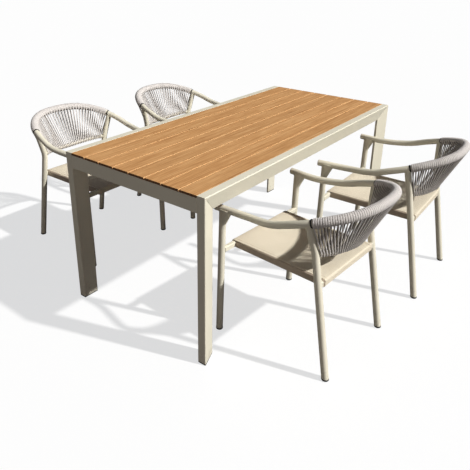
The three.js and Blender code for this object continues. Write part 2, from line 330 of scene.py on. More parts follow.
class Look:
    """A material built node by node round one Principled shader."""

    def __init__(self, name, **sockets):
        self.mat = bpy.data.materials.new(name)
        self.mat.use_nodes = True
        self.tree = self.mat.node_tree
        self.shader = self.tree.nodes["Principled BSDF"]
        for socket, value in sockets.items():
            self.shader.inputs[socket.replace("_", " ")].default_value = value

    def node(self, kind, links=None, values=None, **settings):
        n = self.tree.nodes.new("ShaderNode" + kind)
        for k, v in settings.items():
            setattr(n, k, v)
        for k, v in (values or {}).items():
            n.inputs[k].default_value = v
        for k, v in (links or {}).items():
            self.tree.links.new(v, n.inputs[k])
        return n

    def coords(self, source="Object", scale=(1, 1, 1)):
        where = self.node("TexCoord").outputs[source]
        return self.node("Mapping", {"Vector": where}, {"Scale": scale}).outputs[0]

    def noise(self, vector, scale, detail=2.0, roughness=0.5, distortion=0.0):
        return self.node("TexNoise", {"Vector": vector},
                         {"Scale": scale, "Detail": detail, "Roughness": roughness,
                          "Distortion": distortion}).outputs["Fac"]

    def wave(self, vector, scale, direction="X", distortion=0.0):
        return self.node("TexWave", {"Vector": vector}, {"Scale": scale, "Distortion": distortion},
                         bands_direction=direction, wave_profile="SIN").outputs["Fac"]

    def ramp(self, fac, stops):
        """A colour ramp through (position, colour) stops, in order."""
        n = self.node("ValToRGB", {"Fac": fac})
        elements = n.color_ramp.elements
        for i, (at, colour) in enumerate(stops):
            if i == 0:
                e = elements[0]
            elif i == len(stops) - 1:
                e = elements[-1]
            else:
                e = elements.new(at)
            e.position = at
            e.color = (*colour, 1)
        return n.outputs["Color"]

    def span(self, fac, low, high, start=0.0, stop=1.0):
        """Takes start..stop of a value to low..high."""
        return self.node("MapRange", {"Value": fac}, {"From Min": start, "From Max": stop,
                                                      "To Min": low, "To Max": high}).outputs[0]

    def math(self, operation, a, b=None):
        n = self.node("Math", operation=operation)
        for i, v in enumerate((a, b)):
            if v is None:
                continue
            if isinstance(v, (int, float)):
                n.inputs[i].default_value = v
            else:
                self.tree.links.new(v, n.inputs[i])
        return n.outputs[0]

    def blend(self, fac, a, b, mode="MIX"):
        n = self.node("Mix", data_type="RGBA", blend_type=mode)
        for i, v in ((0, fac), (6, a), (7, b)):
            if isinstance(v, (int, float)):
                n.inputs[i].default_value = v
            elif isinstance(v, tuple):
                n.inputs[i].default_value = (*v, 1)
            else:
                self.tree.links.new(v, n.inputs[i])
        return n.outputs[2]

    def finish(self, colour, roughness, height, strength, distance):
        """Links colour, roughness unless it is None, and bump; gives the material."""
        self.tree.links.new(colour, self.shader.inputs["Base Color"])
        if roughness is not None:
            self.tree.links.new(roughness, self.shader.inputs["Roughness"])
        n = self.node("Bump", {"Height": height}, {"Strength": strength, "Distance": distance})
        self.tree.links.new(n.outputs[0], self.shader.inputs["Normal"])
        return self.mat


def powder_coat(name="powder_coat", shade_tint=None):
    """Cream textured powder coat: mottled, finely pebbled, a little scuffed near the floor."""
    look = Look(name, Metallic=0.0, Coat_Weight=0.12, Coat_Roughness=0.35)
    where = look.coords()
    broad = look.noise(where, 5.0, 3.0)
    fine = look.noise(where, 620.0, 2.0, 0.6)
    colour = look.ramp(broad, [(0.3, (0.775, 0.735, 0.600)), (0.7, (0.830, 0.790, 0.650))])
    colour = look.blend(0.10, colour, look.ramp(fine, [
        (0.35, (0.50, 0.46, 0.36)), (0.65, (0.95, 0.92, 0.80))]))
    height = look.node("SeparateXYZ", {"Vector": where}).outputs["Z"]
    low = look.span(height, 0.55, 0.0, 0.0, 0.11)
    worn = look.span(look.noise(where, 48.0, 5.0, 0.7), 0.0, 1.0, 0.48, 0.66)
    scuff = look.math("MULTIPLY", low, worn)
    colour = look.blend(scuff, colour, (0.36, 0.32, 0.26))
    # A shade tint darkens the whole coat: painted shade.
    if shade_tint:
        colour = look.blend(1.0, colour, shade_tint, "MULTIPLY")
    rough = look.span(look.noise(where, 14.0, 4.0, 0.6), 0.36, 0.52, 0.3, 0.7)
    return look.finish(colour, rough, fine, 0.35, 0.00012)


def teak(edge=False):
    """Wood-grain slats: streaks along the length, each slat its own board.

    Boards are numbered 1 to 8 by where they lie across the table. The number moves the grain
    and sets the board's tone. With edge, the teak is painted lighter for the slats' long sides:
    painted light.
    """
    look = Look("teak_painted_light" if edge else "teak", Metallic=0.0)
    place = look.node("TexCoord").outputs["Object"]
    split = look.node("SeparateXYZ", {"Vector": place})
    pitch = SLAT_PITCH * MM
    board = look.math("FLOOR", look.math("DIVIDE", look.math(
        "ADD", split.outputs["Y"], (SLAT["count"] / 2 + 1) * pitch), pitch))
    tone = look.node("TexWhiteNoise", {"W": board}, noise_dimensions="1D").outputs["Value"]
    shift = look.node("CombineXYZ", {"X": look.math("MULTIPLY", tone, 37.0),
                                     "Z": look.math("MULTIPLY", board, 3.7)}).outputs[0]
    moved = look.node("VectorMath", {0: place, 1: shift}, operation="ADD").outputs[0]

    def streaks(along, across, detail, distortion=0.0):
        v = look.node("Mapping", {"Vector": moved}, {"Scale": (along, across, across)}).outputs[0]
        return look.noise(v, 1.0, detail, 0.55, distortion)

    broad = streaks(1.3, 26, 4.0, 0.5)
    grain = streaks(4.5, 190, 5.0, 0.8)
    pores = streaks(17, 620, 3.0)
    colour = look.ramp(broad, [(0.28, (0.545, 0.270, 0.098)), (0.5, (0.605, 0.310, 0.118)),
                               (0.72, (0.665, 0.360, 0.148))])
    colour = look.blend(0.65, colour, look.ramp(grain, [
        (0.34, (0.350, 0.150, 0.048)), (0.50, (0.600, 0.315, 0.120)),
        (0.66, (0.780, 0.480, 0.225))]))
    colour = look.blend(look.span(pores, 0.0, 0.60, 0.54, 0.70), colour, (0.300, 0.135, 0.045))
    level = look.span(tone, 0.97, 1.04)
    level = look.node("CombineColor", {"Red": level, "Green": level, "Blue": level}).outputs[0]
    colour = look.blend(1.0, colour, level, "MULTIPLY")
    # The slats' long sides and their rounded edges are painted lighter: painted light.
    if edge:
        colour = look.blend(0.55, colour, (0.760, 0.480, 0.225))
    height = look.math("ADD", look.math("MULTIPLY", grain, 0.6), look.math("MULTIPLY", pores, -0.6))
    rough = look.span(grain, 0.50, 0.68, 0.3, 0.7)
    return look.finish(colour, rough, height, 0.35, 0.0003)


def end_grain():
    """Sawn ends of the slats: darker, with rings and open pores."""
    look = Look("teak_end", Metallic=0.0, Roughness=0.75)
    where = look.coords(scale=(1, 1, 1.6))
    rings = look.wave(where, 18.0, "Y", distortion=6.0)
    pores = look.noise(where, 900.0, 2.0)
    colour = look.ramp(rings, [(0.2, (0.150, 0.072, 0.030)), (0.8, (0.250, 0.125, 0.052))])
    colour = look.blend(look.span(pores, 0, 0.6, 0.5, 0.7), colour, (0.07, 0.035, 0.015))
    return look.finish(colour, None, pores, 0.4, 0.0003)


def plastic():
    """Black moulded plastic with a faint spark-eroded grain."""
    look = Look("moulded_plastic", Metallic=0.0)
    where = look.coords()
    fine = look.noise(where, 1400.0, 2.0)
    dust_and_painted_shade = look.noise(where, 60.0, 4.0, 0.7)
    colour = look.ramp(dust_and_painted_shade, [(0.35, (0.016, 0.015, 0.014)), (0.75, (0.060, 0.055, 0.048))])
    return look.finish(colour, look.span(dust_and_painted_shade, 0.42, 0.66, 0.3, 0.7), fine, 0.4, 0.00015)


def sling_cloth():
    """Open woven mesh: coated yarns crossing at right angles, a little uneven."""
    look = Look("sling_weave", Metallic=0.0, Roughness=0.72, Sheen_Weight=0.12, Sheen_Roughness=0.5)
    yarns = 165.0                               # wave scale of single yarns, about 1.9 mm apart
    uv = look.coords("UV")
    warp = look.wave(uv, yarns, "X")
    weft = look.wave(uv, yarns, "Y")
    pairs = [look.math("SUBTRACT", look.wave(uv, yarns / 2, way), 0.5) for way in "XY"]
    over = look.math("GREATER_THAN", look.math("MULTIPLY", *pairs), 0.0)
    picked = look.node("Mix", {0: over, 2: warp, 3: weft}, data_type="FLOAT").outputs[0]
    yarn = look.math("MULTIPLY", look.math("ADD", warp, weft), 0.5)
    height = look.math("ADD", look.math("MULTIPLY", picked, 0.6), look.math("MULTIPLY", yarn, 0.4))
    slub = look.noise(look.coords("UV", (40, 900, 1)), 1.0, 3.0)
    cloud = look.noise(look.coords("Object"), 9.0, 4.0, 0.6)
    colour = look.ramp(height, [(0.12, (0.450, 0.390, 0.285)), (0.5, (0.750, 0.665, 0.510)),
                                (0.9, (0.840, 0.770, 0.620))])
    colour = look.blend(0.30, colour, look.ramp(slub, [
        (0.3, (0.630, 0.545, 0.410)), (0.7, (0.870, 0.800, 0.660))]))
    colour = look.blend(0.22, colour, look.ramp(cloud, [
        (0.3, (0.670, 0.580, 0.435)), (0.7, (0.850, 0.775, 0.625))]))
    rough = look.span(cloud, 0.66, 0.82, 0.3, 0.7)
    return look.finish(colour, rough, height, 0.5, 0.00035)


def rope_braid(name="rope_braid", girth=None):
    """Braided outdoor rope: two families of yarns spiralling round it, flecked taupe.

    With a girth in mm, the side of the rope that faces into the hollow of the back is painted
    darker:
    painted shade.
    """
    look = Look(name, Metallic=0.0, Roughness=0.82, Sheen_Weight=0.2, Sheen_Roughness=0.6)
    uv = look.node("TexCoord").outputs["UV"]

    def spiral(angle):
        turned = look.node("Mapping", {"Vector": uv}, {"Rotation": (0, 0, math.radians(angle))})
        return look.wave(turned.outputs[0], 150.0, "X")

    braid = look.math("MAXIMUM", spiral(52), spiral(-52))
    fleck = look.noise(look.coords("UV", (500, 140, 1)), 1.0, 3.0, 0.6)
    cloud = look.noise(look.coords("Object"), 22.0, 3.0)
    lift = 1.15 if girth else 1.0

    def tone(r, g, b):
        return (r * lift, g * lift, b * lift)

    # Colour follows the braid: the grooves between the yarns are painted darker, as painted shade.
    colour = look.ramp(braid, [
        (0.25, tone(0.400, 0.370, 0.350)), (0.95, tone(0.760, 0.725, 0.700))])
    colour = look.blend(0.45, colour, look.ramp(fleck, [
        (0.35, tone(0.500, 0.465, 0.445)), (0.65, tone(0.790, 0.755, 0.730))]))
    colour = look.blend(0.25, colour, look.ramp(cloud, [
        (0.3, tone(0.590, 0.555, 0.530)), (0.7, tone(0.740, 0.705, 0.680))]))
    if girth:
        # The side of each strand that faces into the hollow of the back is painted darker: painted
        # shade.
        across = look.node("SeparateXYZ", {"Vector": uv}).outputs["X"]
        facing = look.math("SINE", look.math("MULTIPLY", across, 2 * math.pi / (girth * MM)))
        dust_and_painted_shade = look.span(facing, 0.85, 0.0, -0.75, 0.0)
        colour = look.blend(dust_and_painted_shade, colour, (0.100, 0.085, 0.078))
    rough = look.span(fleck, 0.76, 0.92, 0.3, 0.7)
    return look.finish(colour, rough, braid, 0.5, 0.0003)


def thread():
    """Stitching thread, a shade darker than the cloth, with its twist."""
    look = Look("sewing_thread", Metallic=0.0, Sheen_Weight=0.2)
    twist = look.wave(look.node("Mapping", {"Vector": look.node("TexCoord").outputs["UV"]},
                                {"Rotation": (0, 0, 0.7)}).outputs[0], 700.0, "X")
    colour = look.ramp(twist, [(0.2, (0.400, 0.320, 0.215)), (0.8, (0.620, 0.510, 0.365))])
    return look.finish(colour, look.span(twist, 0.6, 0.8), twist, 0.4, 0.0001)


# The second coat is the cream coat darkened by a tint: painted shade for the seat's side bars.
COAT, SHADE_PAINTED_COAT = powder_coat(), powder_coat("powder_coat_painted_shade", (0.55, 0.47, 0.45))
TEAK, TEAK_PAINTED_LIGHT, TEAK_END = teak(), teak(edge=True), end_grain()
PLASTIC, CLOTH, BRAID, THREAD = plastic(), sling_cloth(), rope_braid(), thread()
# The strands: the braid made lighter, with painted shade on the side facing the hollow of the back.
STRAND = rope_braid("rope_braid_strand", 2 * math.pi * ROPE["strand"])


def add(name, mesh, body, nodes, at):
    """Puts a finished mesh in the scene and on its body."""
    made = bpy.data.objects.new(name, mesh)
    bpy.context.scene.collection.objects.link(made)
    made.matrix_world = at
    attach(made, body)
    if nodes:
        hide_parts(*nodes)
    return made


# ------------------------------------------------------------------ table

def frame_section(inset=0.0):
    """Outline of the tapered frame member: in from the outer edge, out from the inner face."""
    wide, deep, lip, ridge = (PROFILE[k] for k in ("wide", "deep", "lip", "ridge"))
    slope = math.atan2(deep - lip, wide)

    def outer(u):
        return deep - inset / math.cos(slope) - u * math.tan(slope)

    cu = inset + ridge
    cv = outer(cu) - ridge / math.cos(slope)
    section = [(inset, inset), (wide - inset, inset), (wide - inset, outer(wide - inset))]
    for i in range(9):
        a = math.pi / 2 - slope + (math.pi / 2 + slope) * i / 8
        section.append((cu + ridge * math.cos(a), cv + ridge * math.sin(a)))
    return section


def member(section, place):
    """A bar between two ends, where place puts a point of the section at end 0 or 1."""
    return Shape().loft([[place(p, end) for p in section] for end in (0, 1)])


def block(x0, x1, y0, y1, z0, z1):
    """A box, skinned along x."""
    return Shape().loft([[(x, y, z) for y, z in ((y0, z0), (y1, z0), (y1, z1), (y0, z1))]
                         for x in (x0, x1)])


def build_table():
    """The frame and its feet, the end rails and braces, the slats and the bolts."""
    half_x, inner = TABLE_LENGTH / 2, TABLE_WIDTH / 2 - PROFILE["deep"]
    mitre = GAP * 0.7                           # each member's share of the 45 degree joint's gap
    section, cap = frame_section(), frame_section(0.5)
    slat_bottom = TABLE_HEIGHT - SLAT["thick"]
    under_slats = slat_bottom - GAP

    def part(node, shape, bevel, material=COAT):
        mesh = shape.mesh(node, [material], bevel=BEVEL[bevel], flat=True)
        add(node + "_fine", mesh, "table", [node], TABLE_AT)

    for side, sy in (("right", -1), ("left", 1)):
        part(f"table_side_rail_{side}", member(section, lambda p, end: (
            (1 if end else -1) * (half_x - p[0] - mitre), sy * (inner + p[1]),
            TABLE_HEIGHT - p[0])), "member")
        for end_name, sx in (("near", -1), ("far", 1)):
            part(f"table_leg_{side}_{end_name}", member(section, lambda p, end: (
                sx * (half_x - p[0]), sy * (inner + p[1]),
                TABLE_HEIGHT - p[0] - mitre if end else FOOT_CAP + GAP)), "member")
            part(f"table_foot_cap_{side}_{end_name}", member(cap, lambda p, end: (
                sx * (half_x - p[0]), sy * (inner + p[1]), FOOT_CAP if end else 0)),
                "foot_cap", PLASTIC)

    for end_name, sx in (("near", -1), ("far", 1)):
        x0, x1 = sorted((sx * half_x, sx * (half_x - END_RAIL["thick"])))
        part(f"table_end_rail_{end_name}", block(
            x0, x1, GAP - inner, inner - GAP, END_RAIL["underside"], under_slats), "end_rail")
    for i, x in enumerate(BRACE["at"]):
        part(f"table_cross_brace_{i + 1}", block(
            x - BRACE["width"] / 2, x + BRACE["width"] / 2, GAP - inner, inner - GAP,
            under_slats - BRACE["depth"], under_slats), "brace")

    width, x = SLAT_PITCH - SLAT["gap"], half_x - SLAT["end"]
    for i in range(SLAT["count"]):
        node = f"table_slat_{i + 1}"
        y = -SLAT_SPAN / 2 + width / 2 + i * SLAT_PITCH
        shape = block(-x, x, y - width / 2, y + width / 2, slat_bottom, TABLE_HEIGHT)
        mesh = shape.mesh(node, [TEAK, TEAK_PAINTED_LIGHT, TEAK_END], bevel=BEVEL["slat"], flat=True)
        # Ends take the end grain; long sides and their rounded edges take the teak painted lighter:
        # painted light.
        for face in mesh.polygons:
            if abs(face.normal.x) > 0.6:
                face.material_index = 2
            elif abs(face.normal.y) > 0.35:
                face.material_index = 1
        add(node + "_fine", mesh, "table", [node], TABLE_AT)

    # Domed bolts that hold the end rails to the legs, and the slats to the braces.
    bolts = Shape()
    for sx, sy, z in product((-1, 1), (-1, 1), RAIL_BOLT["z"]):
        dome(bolts, (sx * (half_x - RAIL_BOLT["in"]), sy * inner, z), (0, -sy, 0), RAIL_BOLT)
    for x, sy, y in product(BRACE["at"], (-1, 1), BRACE_BOLT["y"]):
        dome(bolts, (x, sy * y, under_slats - BRACE["depth"]), (0, 0, -1), BRACE_BOLT)
    add("table_bolts", bolts.mesh("table_bolts", [COAT]), "table", (), TABLE_AT)


def dome(shape, centre, axis, bolt):
    """A domed bolt head with a shallow socket."""
    centre, axis = np.asarray(centre, float), unit(axis)
    side = unit(np.cross(axis, (0.3, 0.5, 0.8)))            # any direction square to the axis
    rim = circle(16, side, np.cross(axis, side))
    profile = [(1.0, 0.0), (1.0, 0.25), (0.93, 0.6), (0.75, 0.88), (0.5, 1.0), (0.42, 1.0),
               (0.40, 0.55)]
    shape.loft([centre + bolt["radius"] * r * rim + axis * bolt["height"] * h for r, h in profile])


# ------------------------------------------------------------------ armchair

def front_leg_rings(top_line, side):
    """Rings up the front leg: a round tube that flares backwards under the arm."""
    foot, top = mirrored(FRONT_FOOT, side), mirrored(RAIL_HALF[FRONT_JOINT], side)
    d = unit(top - foot)
    across = np.array([1.0, 0, 0])
    across = unit(across - d * (across @ d))
    back = np.cross(d, across)
    if back[1] > 0:
        back = -back
    tube = TUBE * circle(TUBE_SIDES, across, back, 0.5)
    rear_half = tube @ back > 1e-6
    rings = [foot + d * h + tube for h in (7, 60, 160, 260, 360, 440, 500)]
    base = top - d * (TUBE + FLARE["rise"])
    for k in range(7):
        w = k / 6
        ring = base + d * FLARE["rise"] * w + tube
        ring[rear_half] += back * FLARE["reach"] * w
        rings.append(ring)
    rings.append(cut_ring(rings[-1], d, top_line, TUBE - INTO_RAIL))
    return np.array(rings)


def rear_leg_path(side):
    """Points up the rear leg, bent at the knee, and the direction of its upper part."""
    foot, knee, top = (mirrored(p, side) for p in (REAR_FOOT, REAR_KNEE, RAIL_HALF[REAR_JOINT]))
    below = knee + unit(foot - knee) * KNEE_BEND
    above = knee + unit(top - knee) * KNEE_BEND
    t = np.linspace(0, 1, 12)[:, None]
    bend = (1 - t) ** 2 * below + 2 * t * (1 - t) * knee + t * t * above
    low = [foot + (below - foot) * w for w in (0.013, 0.15, 0.35, 0.55, 0.75, 0.9)]
    high = [above + (top - above) * w for w in (0.2, 0.45, 0.7)]
    return np.vstack([low, bend, high]), unit(top - above)


def build_legs(top_line):
    """The four legs with their welds to the rail, and the plastic glides under them."""
    legs, glides = {}, Shape()
    for label, side in (("left", -1), ("right", 1)):
        path, d = rear_leg_path(side)
        rear = tube_rings(path, TUBE, TUBE_SIDES, (0, -1, 0))
        rear = np.vstack([rear, cut_ring(rear[-1], d, top_line, TUBE - INTO_RAIL)[None]])
        for name, rings in (("front", front_leg_rings(top_line, side)), ("rear", rear)):
            shape = Shape().loft(rings)
            bead(shape, rings[-1], WELD["leg"])
            legs[f"{name}_leg_{label}"] = shape
        for foot, toward in ((FRONT_FOOT, RAIL_HALF[FRONT_JOINT]), (REAR_FOOT, REAR_KNEE)):
            a = mirrored(foot, side)
            d = unit(mirrored(toward, side) - a)
            level = circle(TUBE_SIDES, (1, 0, 0), (0, 1, 0))
            glides.loft([a + d * (h / d[2]) + radius * level for h, radius in GLIDE])
    return legs, glides


def build_lower_rail(low_line, leg_lines):
    """The lower back rail, welded between the rear legs."""
    trim = 6
    rings = tube_rings(low_line[trim:-trim], LOWER_TUBE, 20)
    first = cut_ring(rings[0], low_line[0] - low_line[trim], leg_lines[1], TUBE - INTO_LEG)
    last = cut_ring(rings[-1], low_line[-1] - low_line[-trim - 1], leg_lines[-1], TUBE - INTO_LEG)
    shape = Shape().loft(np.vstack([first[None], rings, last[None]]))
    bead(shape, first, WELD["rail"])
    bead(shape, last, WELD["rail"])
    return shape


def bar_section(width, height, r=3.5):
    """Outline of a seat bar with rounded edges, as (across, up)."""
    w, h = width / 2, height / 2
    section = []
    for cx, cz, start in ((w - r, h - r, 0), (r - w, h - r, 90), (r - w, r - h, 180),
                          (w - r, r - h, 270)):
        for k in range(5):
            a = math.radians(start + 90 * k / 4)
            section.append((cx + r * math.cos(a), cz + r * math.sin(a)))
    return section


def build_seat_frame(leg_lines):
    """Full-length side bars, front and rear bars between them, and stubs out to the legs."""
    shape = Shape()
    half_bar, inside = SEAT["bar"] / 2, SEAT["half"] - SEAT["rail"]
    front_lines = {side: np.array([mirrored(p, side) for p in (FRONT_FOOT, RAIL_HALF[FRONT_JOINT])])
                   for side in (-1, 1)}

    def across(x0, x1, y, z, section):
        return [[(x, y + p, z + q) for p, q in section] for x in (x0, x1)]

    bar = bar_section(SEAT["bar"], SEAT["height"])
    stub = bar_section(STUB["deep"], STUB["high"])
    for y, z, outward, lines in ((SEAT["front_y"], SEAT["front_z"], 1, front_lines),
                                 (SEAT["rear_y"], SEAT["rear_z"], -1, leg_lines)):
        ends = across(-inside - OVERLAP, inside + OVERLAP, y, z, bar)
        shape.loft(ends)
        for loop in ends:
            bead(shape, loop, WELD["bar"])
        for side in (-1, 1):
            start, end = across(
                side * (SEAT["half"] - OVERLAP), side * (SEAT["half"] + STUB["reach"]),
                y + STUB["shift"] * outward, z, stub)
            cut = cut_ring(np.array(end), (side, 0, 0), lines[side], TUBE - INTO_LEG)
            shape.loft([start, cut])
            bead(shape, start, WELD["stub"])
            bead(shape, cut, WELD["bar"])
    # The side bars take the second material, the cream coat darkened as painted shade.
    rail = bar_section(SEAT["rail"], SEAT["height"])
    for side in (-1, 1):
        x = side * (SEAT["half"] - SEAT["rail"] / 2)
        shape.loft([[(x + p, y, z + q) for p, q in rail]
                    for y, z in ((SEAT["rear_y"] - half_bar, SEAT["rear_z"]),
                                 (SEAT["front_y"] + half_bar, SEAT["front_z"]))], finish=1)
    return shape


def sling_profile():
    """The cloth's middle line from front hem to rear hem, as y, z and its share of the dip."""
    fy, fz, ry, rz = (SEAT[k] for k in ("front_y", "front_z", "rear_y", "rear_z"))
    lift = GAP + SLING["thick"] / 2
    half, top, r = SEAT["bar"] / 2 + lift, SEAT["height"] / 2 + lift, 6.5
    line = [(fy + half, fz + top - SLING["drop"], 0), (fy + half, fz + top - SLING["drop"] / 2, 0)]
    for k in range(6):
        a = math.radians(90 * k / 5)
        line.append((fy + half - r + r * math.cos(a), fz + top - r + r * math.sin(a), 0))
    line.append((fy - half + 4, fz + top, 0))
    n = 30
    for k in range(1, n):
        t = k / n
        line.append((fy - half + (ry + half - fy + half) * t, fz + (rz - fz) * t + top,
                     math.sin(math.pi * t) ** 0.8))
    line.append((ry + half - 4, rz + top, 0))
    for k in range(6):
        a = math.radians(90 + 90 * k / 5)
        line.append((ry - half + r + r * math.cos(a), rz + top - r + r * math.sin(a), 0))
    line += [(ry - half, rz + top - SLING["drop"] / 2, 0), (ry - half, rz + top - SLING["drop"], 0)]
    return np.array(line)


def sling_point(row, a):
    """A point of the sagging cloth, at a share a of the way from its middle to its edge."""
    y, z, dip = row
    t = min(max((SEAT["front_y"] - y) / (SEAT["front_y"] - SEAT["rear_y"]), 0), 1)
    sag = SLING["dip"] * dip * max(0.0, 1 - (a / SLING["flat"]) ** 2)
    # The cloth is not quite even: it is pulled up and down by up to 0.35 mm.
    pull = 0.35 * dip * math.sin(9.0 * a + 5.0 * t) * math.cos(7.0 * t - 3.0 * a) * (1 - abs(a))
    half_width = SLING["front"] + (SLING["rear"] - SLING["front"]) * t
    return np.array([a * half_width, y, z - sag + pull])


def build_sling():
    """The cloth as a closed slab with thicker hems, its middle surface and the normals of that."""
    line = sling_profile()
    across = np.concatenate([[-1, -0.985, -0.93, -0.925], np.linspace(-0.86, 0.86, 29),
                             [0.925, 0.93, 0.985, 1]])
    grid = np.array([[sling_point(row, a) for a in across] for row in line])
    normal = unit(np.cross(np.gradient(grid, axis=1), np.gradient(grid, axis=0)))
    if normal[len(line) // 2, len(across) // 2, 2] < 0:
        normal = -normal
    s = lengths(line[:, :2])
    thick = np.full((len(line), len(across)), SLING["thick"] / 2)
    thick[:, np.abs(across) >= 0.93] += HEM["side"]
    thick[np.minimum(s, s[-1] - s) < HEM["end_width"]] += HEM["end"]
    thick[:, [0, -1]] *= 0.75
    thick[[0, -1]] *= 0.8
    top, bottom = grid + normal * thick[..., None], grid - normal * (SLING["thick"] / 2)
    rows, uvs = [], []
    for i in range(len(line)):
        rows.append(np.vstack([top[i], bottom[i][::-1]]))
        u = np.concatenate([grid[i][:, 0], grid[i][::-1, 0], grid[i][:1, 0]]) * MM
        uvs.append(np.stack([u, np.full(len(u), s[i] * MM)], axis=1))
    return Shape().loft(rows, uv=np.array(uvs)), grid, normal


def stitches(shape, path, normals):
    """A row of stitches along a path on the cloth, each a short thread that dips at its ends."""
    s = lengths(path)
    share = np.array([0, 0.12, 0.35, 0.65, 0.88, 1])
    lift = np.array([-0.35, 0.05, 0.32, 0.32, 0.05, -0.35])[:, None]
    radius = STITCH["radius"] * np.array([0.6, 0.9, 1, 1, 0.9, 0.6])
    start = 1.0
    while start + STITCH["length"] < s[-1]:
        where = start + STITCH["length"] * share
        n = unit(read_at(where, s, normals))
        shape.loft(tube_rings(at_length(path, where) + n * lift, radius, 6, n[0]))
        start += STITCH["length"] + STITCH["gap"]


def build_stitching(grid, normal):
    """Two rows of stitches along each side hem, and one along the front and the rear hem."""
    sewn = Shape()
    half_thick = SLING["thick"] / 2
    rows = slice(2, -2)
    for column in (2, 3, -4, -3):
        path = grid[rows, column] + normal[rows, column] * (half_thick + 0.35)
        stitches(sewn, path, normal[rows, column])
    for row in (1, -2):
        path = grid[row] + normal[row] * (half_thick + 0.1)
        stitches(sewn, path[1:-1], normal[row][1:-1])
    return sewn


def rope_wrap(curve, from_t, to_t):
    """Rope wound tightly round the top rail, as one long coil."""
    path = dense(curve, 500, from_t, to_t)
    s = lengths(path)
    turns, per_turn, sides = int(s[-1] / ROPE["pitch"]), 18, 8
    where = np.linspace(ROPE["along"] / 2, s[-1] - ROPE["along"] / 2, turns * per_turn)
    side, up, tangent = (unit(read_at(where, s, v)) for v in (*frames(path), tangents(path)))
    angle = 2 * np.pi * np.arange(len(where)) / per_turn
    out = np.cos(angle)[:, None] * side + np.sin(angle)[:, None] * up
    mid = at_length(path, where) + out * (TUBE + ROPE["across"] / 2)
    a = 2 * np.pi * np.arange(sides) / sides
    rings = (mid[:, None] + (ROPE["across"] / 2) * np.cos(a)[None, :, None] * out[:, None]
             + (ROPE["along"] / 2) * np.sin(a)[None, :, None] * tangent[:, None])
    along = lengths(mid) * MM
    girth = np.linspace(0, math.pi * ROPE["strand"] * 2 * MM, sides + 1)
    uv = np.stack([np.repeat(girth[None], len(along), 0),
                   np.repeat(along[:, None], sides + 1, 1)], axis=2)
    return Shape().loft(rings, uv=uv)


def rope_strands(top, low, from_t, to_t):
    """The strung back: each rope comes down outside, loops under the lower rail, goes up inside."""
    shape = Shape()
    radius, spacing = ROPE["strand"], 1 / ROPE["count"]
    up = np.array([0, 0, 1.0])
    top_path, low_path = dense(top, 600, from_t, to_t), dense(low, 600, 0.045, 0.955)
    top_s, low_s = lengths(top_path), lengths(low_path)

    def on(line, s, w):
        """The point at share w of a line, and the level direction out of the back there."""
        w = min(max(w, 0.004), 0.996)
        p = at_length(line, np.array([w * s[-1] - 0.5, w * s[-1], w * s[-1] + 0.5]))
        out = unit(np.cross(unit(p[2] - p[0]), up))
        return p[1], -out if out @ np.array([p[1][0] * 0.3, -1, 0]) < 0 else out

    def spread(w):
        """Strands stand a little wider apart in the middle of the back."""
        return w - ROPE["spread"] * math.sin(2 * math.pi * w) / (2 * math.pi)

    hang = TUBE + ROPE["across"] * 0.55         # from the middle of the top rail to a strand
    under = math.radians(38)                    # outer runs leave the coil this far below level
    tucked = 0.5                                # radians that inner runs go on round the coil
    loop = LOWER_TUBE + radius
    lean = 0.25 * spacing                       # half the step from an outer to its inner run
    step = 2.4                                  # the same step at the lower rail, on each side
    turn = np.radians([8, -30, -60, -90, -120, -150, -188])
    straight = (0.06, 0.25, 0.5, 0.75, 0.94)
    for i in range(ROPE["count"]):
        w = (i + 0.5) * spacing
        bottom, out = on(low_path, low_s, w)
        outer_top, outer_out = on(top_path, top_s, spread(w + lean))
        inner_top, inner_out = on(top_path, top_s, spread(w - lean))
        shift = unit(np.cross(out, up)) * step
        shift *= np.sign(shift @ (inner_top - outer_top))
        start = outer_top + hang * (math.cos(under) * outer_out - math.sin(under) * up)
        slope = math.atan2((inner_top - bottom) @ inner_out, inner_top[2] - bottom[2])
        end = inner_top + hang * (math.sin(slope) * up - math.cos(slope) * inner_out)
        tuck = inner_top + 0.8 * hang * (math.sin(slope + tucked) * up
                                         - math.cos(slope + tucked) * inner_out)
        around = [bottom + shift * (k / 3 - 1) + loop * (math.cos(a) * out + math.sin(a) * up)
                  for k, a in enumerate(turn)]
        path = [outer_top + outer_out * hang * 0.92 + (0, 0, -3), start]
        path += [start + (around[0] - start) * f for f in straight]
        path += around
        path += [around[-1] + (end - around[-1]) * f for f in straight]
        path += [end, tuck]
        shape.loft(tube_rings(np.array(path), radius, 8, out))
    return shape


